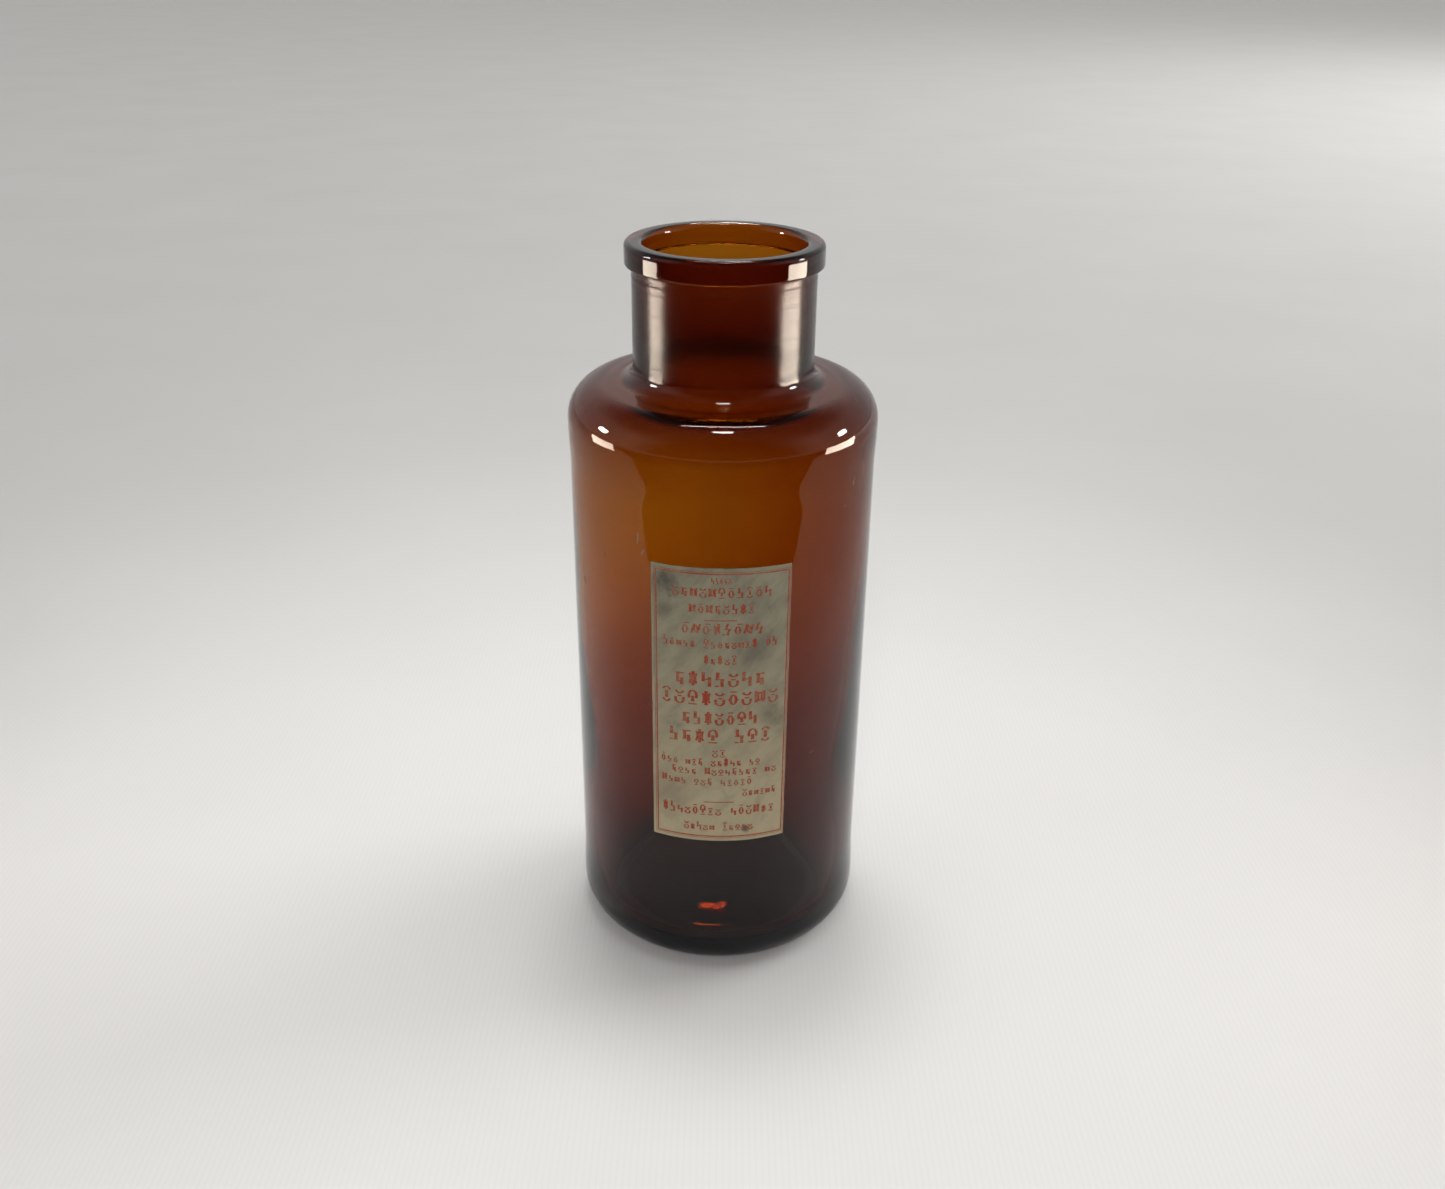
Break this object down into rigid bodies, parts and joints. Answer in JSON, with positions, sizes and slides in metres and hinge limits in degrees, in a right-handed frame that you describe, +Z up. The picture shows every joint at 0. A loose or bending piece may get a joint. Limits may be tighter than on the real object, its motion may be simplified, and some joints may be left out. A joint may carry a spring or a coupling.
{
  "type": "wide-mouth apothecary stock bottle",
  "caption": "Round amber glass tablet bottle with a wide open neck, a square-edged lip and a gummed paper label wrapped round its front.",
  "frame": {"origin": "centre of the base, on the surface that the bottle stands on", "axes": "+Z up along the bottle's axis to the mouth, -Y out of the middle of the label, +X to the right as the label is read"},
  "size_m": [0.072, 0.072, 0.1745],
  "materials": {
    "amber_glass": "glossy blown glass, lightly scuffed",
    "dried_gum": "dried brown gum film",
    "aged_paper": "matte aged paper with red printing"
  },
  "bodies": {
    "root": {"glass_bottle": "amber_glass", "label_gum": "dried_gum", "paper_label": "aged_paper"}
  },
  "joints": []
}
